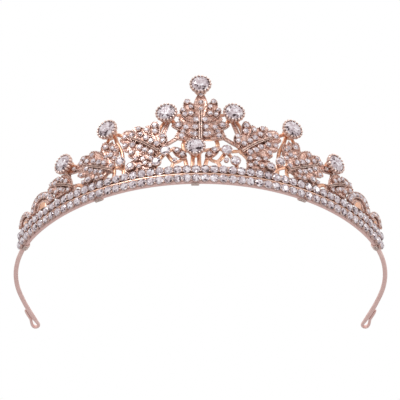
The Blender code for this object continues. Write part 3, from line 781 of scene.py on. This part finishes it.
# Places across a blade, as shares of its half width: its front, then its back
BLADE_TOP = (-1, -0.95, -0.87, -0.78, -0.62, -0.42, -0.22, -0.08, 0.08, 0.22, 0.42, 0.62, 0.78, 0.87, 0.95, 1)
BLADE_UNDER = (0.9, 0.4, -0.4, -0.9)
BLADE_BACK = 1.65
BLADE_THICKNESS = 1.2
BLADE_OUT, BLADE_RISE = 2.1, 0.9
BLADE_LEAST_WIDTH = 0.08
RIM_PLACE, RIM_WIDTH, RIM_HEIGHT = 0.87, 0.09, 0.42
VEIN_WIDTH, VEIN_HEIGHT = 0.12, 0.16
RIB_HEIGHT, RIBS_PER_MM, RIB_SLANT, RIB_REACH = 0.06, 1.15, 0.9, 0.8
HOLLOW_DEPTH, HOLLOW_RISE = 0.30, 0.25
LIP_PLACE, LIP_RUN, LIP_DROP = 0.92, 0.08, 0.5

EDGE_BEAD, EDGE_BEAD_PITCH, EDGE_BEAD_LINE, EDGE_BEAD_DEPTH = 0.27, 0.75, 0.93, 0.15
LEAF_OUT, LAYER_STEP, LAYERS = 2.0, 0.16, 3
LEAF_PLATE_OUT, LEAF_PLATE_RISE = 1.75, 0.15
SPINE_SPACING, SPINE_OUT = 0.34, 3.2
LEAF_STONE_OUT = 3.0


def bump_at(value, centre, width):
    """A smooth bump of height 1."""
    return math.exp(-(((value - centre) / width) ** 2))


def blade_line(start, end, bend, t):
    """The place on a blade's midline at t from 0 to 1, and the direction across it."""
    first = Vector(start)
    run = Vector(end) - first
    aside = Vector((-run.y, run.x)).normalized() * bend
    place = first + run * t + aside * (4 * t * (1 - t))
    heading = (run + aside * (4 - 8 * t)).normalized()
    return place, Vector((-heading.y, heading.x))


def blade_width(half_width, t):
    """Half a blade's width at t: round at the root, drawn in at the tip."""
    return half_width * math.sin(math.pi * min(1, 0.02 + 0.98 * t**0.9)) ** 0.62


def blade_arch(t):
    """How far a blade's midline stands out at t, as a share of its rise."""
    return math.sin(math.pi * (0.12 + 0.8 * t))


def blade_relief(f, t, width, length):
    """What the rim, the vein, the ribs and the hollow add to a blade's front at f across it."""
    side = abs(f)
    relief = RIM_HEIGHT * bump_at(side, RIM_PLACE, RIM_WIDTH) + VEIN_HEIGHT * bump_at(side, 0, VEIN_WIDTH)
    relief += HOLLOW_RISE * side**2 - HOLLOW_DEPTH
    if side < RIB_REACH:
        relief += RIB_HEIGHT * math.sin(math.tau * (RIBS_PER_MM * t * length - RIB_SLANT * side * width))
    return relief - LIP_DROP * max(0.0, side - LIP_PLACE) / LIP_RUN


def blade(shape, start, end, half_width, bend, out=BLADE_OUT, rise=BLADE_RISE):
    """A spoon-shaped leaf blade with a raised rim, a vein and fine ribs."""
    length = (Vector(end) - Vector(start)).length
    sections = []
    for step in range(BLADE_STEPS + 1):
        t = step / BLADE_STEPS
        place, across = blade_line(start, end, bend, t)
        width = max(BLADE_LEAST_WIDTH, blade_width(half_width, t))
        full = width / half_width
        front = out + rise * blade_arch(t)
        back = max(BLADE_BACK, front - BLADE_THICKNESS)
        outline = [(f, front + blade_relief(f, t, width, length) * full) for f in BLADE_TOP]
        outline += [(f, back) for f in BLADE_UNDER]
        ring = []
        for f, depth in outline:
            spot = place + across * (width * f)
            ring.append(crest_point(spot.x, depth, spot.y))
        sections.append(ring)
    shape.loft(sections)


def blade_beads(setting, start, end, half_width, bend, out):
    """A row of fine beads along both edges of a blade."""
    length = (Vector(end) - Vector(start)).length
    count = max(4, round(length / EDGE_BEAD_PITCH))
    for step in range(1, count):
        t = step / count
        place, across = blade_line(start, end, bend, t)
        width = EDGE_BEAD_LINE * blade_width(half_width, t)
        depth = out + BLADE_RISE * blade_arch(t) + EDGE_BEAD_DEPTH
        for edge in (-width, width):
            spot = place + across * edge
            ball(setting.rims, facing(spot.x, depth, spot.y), EDGE_BEAD)


def make_leaves():
    """The leaves on both sides: beaded blades over a plate, a double spine and small stones."""
    for side, sign in SIDES:
        for name, blades in BLADES.items():
            dice = random.Random(side + name)
            leaf = Setting()
            for index, (start, end, width, bend) in enumerate(blades):
                out = LEAF_OUT + LAYER_STEP * (index % LAYERS)
                ends = mirrored((start, end), sign)
                blade(leaf.metal, *ends, width, sign * bend, out)
                blade_beads(leaf, *ends, width, sign * bend, out)
            if name in PLATES:
                start, end, width = PLATES[name]
                ends = mirrored((start, end), sign)
                blade(leaf.metal, *ends, width, 0.0, LEAF_PLATE_OUT, LEAF_PLATE_RISE)
            if name in SPINES:
                spine = smooth_path(mirrored(SPINES[name], sign), 8)
                heading = (spine[-1] - spine[0]).normalized()
                for offset in (-SPINE_SPACING, SPINE_SPACING):
                    path = [place + Vector((-heading.y, heading.x)) * offset for place in spine]
                    tube(leaf.metal, path, 0.27, 0.4, SPINE_OUT, sides=8)
            for along, high, radius in PAVE[name]:
                stone_in_cup(leaf, sign * along, high, radius, dice, LEAF_STONE_OUT)
            leaf.pieces(f"{side}_{name}", f"{side}_{name}")


def make_centre_leaf():
    """The tall leaf in the middle, the same on both sides of its spine."""
    dice = random.Random(3)
    leaf = Setting()
    for _, sign in SIDES:
        for start, end, width, bend in CENTRE_BLADES:
            ends = mirrored((start, end), sign)
            blade(leaf.metal, *ends, width, sign * bend)
            blade_beads(leaf, *ends, width, sign * bend, BLADE_OUT)
        for along, high, radius in CENTRE_PAVE:
            stone_in_cup(leaf, sign * along, high, radius, dice, LEAF_STONE_OUT)
        path = [Vector((sign * 0.4, 19.6 + 1.3 * step)) for step in range(12)]
        tube(leaf.metal, path, half_width=0.3, half_depth=0.45, out=3.1, sides=8)
    blade(leaf.metal, *CENTRE_TIP_BLADE, out=2.4)
    start, end, width = CENTRE_PLATE
    blade(leaf.metal, start, end, width, bend=0.0, out=1.8, rise=0.2)
    for along, high, radius in CENTRE_TIP_PAVE:
        stone_in_cup(leaf, along, high, radius, dice, out=3.2)
    leaf.pieces("centre_leaf", "centre_leaf")


def make_marquises():
    """The pointed buds at both sides of the low stone, with two stones each."""
    for side, sign in SIDES:
        dice = random.Random(side + "marquise")
        bud = Setting()
        start, end, width = MARQUISE
        ends = mirrored((start, end), sign, LOW_CENTRE)
        blade(bud.metal, *ends, width, bend=0.0, out=2.3, rise=0.3)
        for along, high, radius in MARQUISE_STONES:
            stone_in_cup(bud, LOW_CENTRE + sign * along, high, radius, dice, out=2.6)
        bud.pieces(side + "_marquise", side + "_marquise")


# ---- single stones

# (name, outer radius)
COLLETS = (
    ("bud_collet", 2.1),
    ("row_collet", 2.0),
    ("hanging_collet", 1.9),
    ("seed_collet", 1.7),
    ("foot_collet", 1.4),
)
COLLET_WALL = 0.15
COLLET_OUT = 2.9
COLLET_CLAWS = 10


def make_collets():
    """Single crystals, each held by a ring of fine claws."""
    for side, _ in SIDES:
        for name, radius in COLLETS:
            node = f"{side}_{name}"
            along, _, high = node_place(node)
            dice = random.Random(node)
            collet = Setting()
            stone_in_cup(collet, along, high, radius - COLLET_WALL, dice, COLLET_OUT, COLLET_CLAWS)
            collet.pieces(node, node)


# ---- arches

# (name, along, radius and rise of the run of stones, stones, stone radius, half width of the run)
ARCHES = (
    ("great_arch", 68.4, 5.9, 5.5, 8, 1.05, 1.25),
    ("end_arch", 80.6, 3.9, 3.6, 5, 0.85, 0.9),
)
ARCH_BEAD_OUT = 3.1
PLATE_HALF_WIDTH, PLATE_DROP = 1.1, 1.0
ROPE_INSET, ROPE_DROP, ROPE_OUT, ROPE_BEAD = 0.7, 0.6, 2.5, 0.36


def arc_place(along, radius, rise, angle):
    """A place on an arch whose outer shoulder is the higher one."""
    climb = rise * math.sin(angle) * (1 - ARCH_LEAN * math.cos(angle))
    return Vector((along - radius * math.cos(angle), ARCH_FOOT + climb))


def arc_path(along, radius, rise, steps=36):
    """An arch from foot to foot."""
    return [arc_place(along, radius, rise, math.pi * step / steps) for step in range(steps + 1)]


def make_arches():
    """Arches: an outer run of stones between beaded rims, then a plate, a rope and a bright core."""
    for side, sign in SIDES:
        for name, along, radius, rise, count, size, half in ARCHES:
            dice = random.Random(side + name)
            arch = Setting()
            middle = sign * along
            run = arc_path(middle, sign * radius, rise)
            tube(arch.metal, run, half, half_depth=0.75, out=2.4, sides=14)
            for inset in (-half, half):
                edge = arc_path(middle, sign * (radius + inset), rise + inset, 40)
                tube(arch.rims, edge, half_width=0.24, half_depth=0.35, out=2.9, sides=8)
                for place in edge[1:-1]:
                    ball(arch.rims, facing(place.x, ARCH_BEAD_OUT, place.y), EDGE_BEAD)
            inner, low = radius - half - PLATE_HALF_WIDTH, rise - half - PLATE_DROP
            plate = arc_path(middle, sign * inner, low)
            tube(arch.metal, plate, PLATE_HALF_WIDTH, half_depth=0.5, out=2.1, sides=14)
            for place in arc_path(middle, sign * (inner - ROPE_INSET), low - ROPE_DROP, 18):
                ball(arch.rims, facing(place.x, ROPE_OUT, place.y), ROPE_BEAD)
            core = Shape()
            path = smooth_path([(middle, ARCH_FOOT - 0.6), (middle, ARCH_FOOT + 0.8 * low)], 6)
            tube(core, path, half_width=0.62 * inner, half_depth=0.6, out=2.2, sides=16)
            core.piece(f"{side}_{name}_core", BAND, "rose_gold")
            for stone in range(count):
                spot = arc_place(middle, sign * radius, rise, math.pi * (stone + 0.5) / count)
                stone_in_cup(arch, spot.x, spot.y, size, dice, out=2.75)
            arch.pieces(f"{side}_{name}", f"{side}_{name}")


# ---- openwork frame

BAND_STEPS = 60
BAR_BEAD, BAR_BEAD_LINE, BAR_BEAD_OUT = 0.3, 0.85, 1.85


def wire_runs():
    """The path of every wire."""
    runs = [smooth_path(SPINE_WIRE, 6)]
    for _, sign in SIDES:
        for corners in PAIRED_WIRES:
            runs.append(smooth_path(mirrored(corners, sign), 8))
        for corners in CENTRE_WIRES:
            runs.append(smooth_path(mirrored(corners, sign, LOW_CENTRE), 8))
    return runs


def make_frame():
    """The base band and every wire of the openwork."""
    shape = Shape()
    reach = STONE_PITCH * STONES_IN_ROW / 2
    middle, half = (BAND_LOW + BAND_HIGH) / 2, (BAND_HIGH - BAND_LOW) / 2
    path = [Vector((reach * (step / BAND_STEPS - 1), middle)) for step in range(2 * BAND_STEPS + 1)]
    tube(shape, path, half, half_depth=0.32, out=1.2, sides=20)
    for run in wire_runs():
        tube(shape, run, WIRE_HALF_WIDTH, half_depth=0.42, out=1.25)
    shape.piece("openwork_frame", BAND, "rose_gold", stands_for=["crest_frame"])


def make_broad_bars():
    """The beaded bars that fill the openwork, with their small stones."""
    dice = random.Random(8)
    bars = Setting()
    for _, sign in SIDES:
        for half_width, corners in BROAD_BARS:
            run = smooth_path(mirrored(corners, sign), 8)
            tube(bars.metal, run, half_width, half_depth=0.5, out=1.4, sides=14)
            for edge in (-1, 1):
                for index, place in enumerate(run):
                    spot = place + across_path(run, index) * half_width * BAR_BEAD_LINE * edge
                    ball(bars.rims, facing(spot.x, BAR_BEAD_OUT, spot.y), BAR_BEAD)
        for along, high, radius in BAR_STONES:
            stone_in_cup(bars, sign * along, high, radius, dice, out=2.5)
    bars.pieces("broad_bars")


# ---- crystal rows

# Cup of a row stone, back to front: (radius, depth)
CUP_RINGS = (
    (1.0, 0.0),
    (1.5, 0.05),
    (1.68, 0.4),
    (1.7, 1.0),
    (1.68, 1.16),
    (1.62, 1.2),
    (1.55, 1.1),
    (1.5, 0.8),
    (0.60, 0.5),
)
CUP_SIDES = 24
ROW_TILT = math.radians(10)
ROW_STONE_RADIUS = 1.6
ROW_STONE_SEAT = 1.14
ROW_WOBBLE = 0.1
# Beads between two cups: how far they stand in front of the cups' backs, above or below, and radius
LINK_OUT, LINK_HIGH, LINK_RADIUS = 0.9, 0.95, 0.34
# (node, height of the row, where the cups' backs stand)
ROWS = (("lower_crystal_row", 1.65, 1.3), ("upper_crystal_row", 5.8, 1.35))


def make_rows():
    """The two long rows of crystals, each crystal in its own cup."""
    dice = random.Random(5)
    for node, high, back in ROWS:
        row = Setting()
        for index in range(STONES_IN_ROW):
            along = STONE_PITCH * (index - (STONES_IN_ROW - 1) / 2)
            at = facing(along, back, high) @ Matrix.Rotation(ROW_TILT, 4, "X")
            turned(row.rims, at, CUP_RINGS, CUP_SIDES)
            if index < STONES_IN_ROW - 1:
                for rise in (-LINK_HIGH, LINK_HIGH):
                    spot = facing(along + STONE_PITCH / 2, back + LINK_OUT, high + rise)
                    ball(row.metal, spot, LINK_RADIUS)
            tilt = Matrix.Rotation(dice.uniform(-ROW_WOBBLE, ROW_WOBBLE), 4, "X")
            tilt = tilt @ Matrix.Rotation(dice.uniform(-ROW_WOBBLE, ROW_WOBBLE), 4, "Y")
            spin = Matrix.Rotation(dice.uniform(0, math.tau), 4, "Z")
            seat = Matrix.Translation((0, 0, ROW_STONE_SEAT))
            brilliant(row.stones, at @ seat @ tilt @ spin, ROW_STONE_RADIUS, dice)
        row.pieces(node, node)


# ---- crowns and centre stone

TEETH = 18
TOOTH_SIDES = 8
TOOTH_BREADTH = 1.05
CROWN_SIDES = 44
# Wall of a crown, from the back of the cup round its lip to the seat: (radius, depth)
CROWN_PROFILE = (
    (1.8, -1.5),
    (2.5, -1.4),
    (2.75, -0.6),
    (2.95, 0.3),
    (3.2, 1.2),
    (3.6, 2.2),
    (3.66, 2.6),
    (3.56, 2.75),
    (3.45, 2.6),
    (3.4, 2.3),
    (0.9, 0.6),
)
# A claw, from the cup's side over the crystal's edge: (reach, depth, half thickness)
TOOTH = (
    (3.35, 1.3, 0.40),
    (3.66, 2.0, 0.52),
    (3.84, 2.6, 0.56),
    (3.88, 3.0, 0.52),
    (3.74, 3.3, 0.42),
    (3.5, 3.35, 0.22),
)
CROWNS = ("top", "left_inner", "right_inner", "left_middle", "right_middle", "left_outer", "right_outer")
CROWN_BACK, CROWN_STONE_OUT, CROWN_STONE_RADIUS = 1.8, 4.75, 3.5
CENTRE_BACK, CENTRE_STONE_OUT, CENTRE_STONE_RADIUS = 1.7, 4.6, 3.35
CENTRE_CLAW_SIZE, CENTRE_CLAW_REACH = 0.95, 0.98


def tooth(shape, matrix, angle, scale):
    """One claw of a crown, from the cup's side up and over the crystal's edge."""
    turn = matrix @ Matrix.Rotation(angle, 4, "Z")
    sections = []
    for index, (reach, depth, size) in enumerate(TOOTH):
        before, after = TOOTH[max(index - 1, 0)], TOOTH[min(index + 1, len(TOOTH) - 1)]
        heading = Vector((after[0] - before[0], after[1] - before[1])).normalized()
        ring = []
        for side in range(TOOTH_SIDES):
            around = math.tau * side / TOOTH_SIDES
            x = scale * reach + size * math.cos(around) * heading.y
            z = depth - size * math.cos(around) * heading.x
            ring.append(turn @ Vector((x, size * TOOTH_BREADTH * math.sin(around), z)))
        sections.append(ring)
    shape.loft(sections)


def crown_pieces(names, nodes, at, claw_frame, claw_reach, gem_frame, gem_radius, dice):
    """A cup, its ring of claws and its crystal; the cup and the crystal stand for the CAD nodes."""
    cup, claws, gem = Shape(), Shape(), Shape()
    turned(cup, at, CROWN_PROFILE, CROWN_SIDES)
    for step in range(TEETH):
        tooth(claws, claw_frame, math.tau * step / TEETH, claw_reach)
    cup.piece(names[0], BAND, "rose_gold", stands_for=[nodes[0]])
    claws.piece(names[1], CLAW, "rose_gold")
    brilliant(gem, gem_frame, gem_radius, dice)
    gem.piece(names[2], CRYSTAL, "crystal", smooth=0, stands_for=[nodes[1]])


def make_crowns():
    """The seven crowned crystals on the points of the crest."""
    dice = random.Random(11)
    for name in CROWNS:
        along, _, high = node_place(name + "_crown")
        at = facing(along, CROWN_BACK, high)
        spin = Matrix.Rotation(dice.uniform(0, math.tau), 4, "Z")
        gem_frame = facing(along, CROWN_STONE_OUT, high) @ spin
        names = (name + "_crown_cup", name + "_crown_teeth", name + "_brilliant")
        nodes = (name + "_crown", name + "_crystal")
        crown_pieces(names, nodes, at, at, 1.0, gem_frame, CROWN_STONE_RADIUS, dice)


def make_centre_stone():
    """The low stone: a ring of fine claws round a crystal."""
    along, _, high = node_place("centre_bezel")
    at = facing(along, CENTRE_BACK, high)
    claw_frame = at @ Matrix.Scale(CENTRE_CLAW_SIZE, 4)
    gem_frame = facing(along, CENTRE_STONE_OUT, high)
    names = ("centre_setting", "centre_setting_claws", "centre_brilliant")
    nodes = ("centre_bezel", "centre_crystal")
    dice = random.Random(21)
    crown_pieces(names, nodes, at, claw_frame, CENTRE_CLAW_REACH, gem_frame, CENTRE_STONE_RADIUS, dice)


# ---- studio

# Light all round, from straight down to straight up, as the metal and the crystals mirror it
STUDIO_LIGHT = (
    (0.0, (0.40, 0.37, 0.37)),
    (0.3, (0.75, 0.75, 0.75)),
    (0.47, (0.30, 0.30, 0.30)),
    (0.6, (0.8, 0.8, 0.8)),
    (1.0, (0.95, 0.95, 0.96)),
)
WHITE = (1.0, 1.0, 1.0)
FLOOR_REACH = 2.5
# Soft square lights: (name, place in metres, side in metres, watts)
LIGHTS = (
    ("key", (-0.6, -0.9, 0.8), 0.46, 5.0),
    ("fill", (0.9, -0.7, 0.2), 0.4, 2.2),
    ("low", (0.0, -0.8, -0.9), 0.5, 2.6),
    ("rim", (0.2, 0.9, 0.8), 0.6, 1.6),
)


def make_world():
    """A plain white backdrop, with soft bands of light for the reflections."""
    scene = bpy.context.scene
    scene.view_settings.view_transform = "Standard"
    world = bpy.data.worlds.new("studio")
    scene.world = world
    world.use_nodes = True
    nodes, links = world.node_tree.nodes, world.node_tree.links
    place = nodes.new("ShaderNodeTexCoord")
    split = nodes.new("ShaderNodeSeparateXYZ")
    links.new(place.outputs["Generated"], split.inputs["Vector"])
    height = spread(nodes, links, split.outputs["Z"], 0, 1, (-1, 1))
    bands = colour_ramp(nodes, links, height, STUDIO_LIGHT)
    path = nodes.new("ShaderNodeLightPath")
    backdrop = mixed(nodes, links, path.outputs["Is Camera Ray"], bands, WHITE)
    links.new(backdrop, nodes["Background"].inputs["Color"])


def make_floor():
    """The pale floor, which is clear from below because the camera looks up from under it."""
    corners = [(x * FLOOR_REACH, y * FLOOR_REACH, 0) for x, y in ((-1, -1), (1, -1), (1, 1), (-1, 1))]
    mesh = bpy.data.meshes.new("floor")
    mesh.from_pydata(corners, [], [(0, 1, 2, 3)])
    floor = placed("floor", mesh)
    material, nodes, links, shader = new_material("pale_floor")
    shader.inputs["Base Color"].default_value = (0.9, 0.9, 0.9, 1)
    shader.inputs["Roughness"].default_value = 0.9
    side = nodes.new("ShaderNodeNewGeometry")
    clear = nodes.new("ShaderNodeBsdfTransparent")
    choose = nodes.new("ShaderNodeMixShader")
    links.new(side.outputs["Backfacing"], choose.inputs["Fac"])
    links.new(shader.outputs["BSDF"], choose.inputs[1])
    links.new(clear.outputs["BSDF"], choose.inputs[2])
    links.new(choose.outputs["Shader"], nodes["Material Output"].inputs["Surface"])
    mesh.materials.append(material)
    floor.visible_glossy = False
    floor.visible_diffuse = False
    floor.visible_shadow = False


def make_lights():
    """The studio lights, all turned to the tiara."""
    for name, place, size, power in LIGHTS:
        light = bpy.data.lights.new(name, "AREA")
        light.size = size
        light.energy = power
        obj = placed(name, light)
        obj.location = place
        obj.rotation_mode = "QUATERNION"
        obj.rotation_quaternion = Vector(place).to_track_quat("Z", "Y")


def make_camera():
    """The camera, in front of the crest and below it."""
    data = bpy.data.cameras.new("camera")
    data.lens = CAMERA_LENS
    data.clip_start, data.clip_end = 0.01, 20
    camera = placed("camera", data)
    back = Vector((0, -math.cos(CAMERA_ELEVATION), math.sin(CAMERA_ELEVATION)))
    start = crest_point(0, 0, BAR_HIGH) + Vector((CAMERA_SIDE, 0, 0)) * MM
    camera.location = start + back * CAMERA_DISTANCE * MM
    camera.rotation_euler = (math.pi / 2 + CAMERA_PITCH, 0, 0)
    bpy.context.scene.camera = camera


def main():
    """Sets up the studio, builds every piece and gives the CAD pieces that still show their material."""
    make_camera()
    make_world()
    make_floor()
    make_lights()
    make_headband()
    for side, sign in SIDES:
        make_leg(side, sign)
    make_rows()
    make_crowns()
    make_centre_stone()
    make_leaves()
    make_centre_leaf()
    make_marquises()
    make_collets()
    make_arches()
    make_frame()
    make_broad_bars()
    for node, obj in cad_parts.items():
        obj.data.materials.clear()
        obj.data.materials.append(SATIN if node.endswith("clip") else BAND)


main()
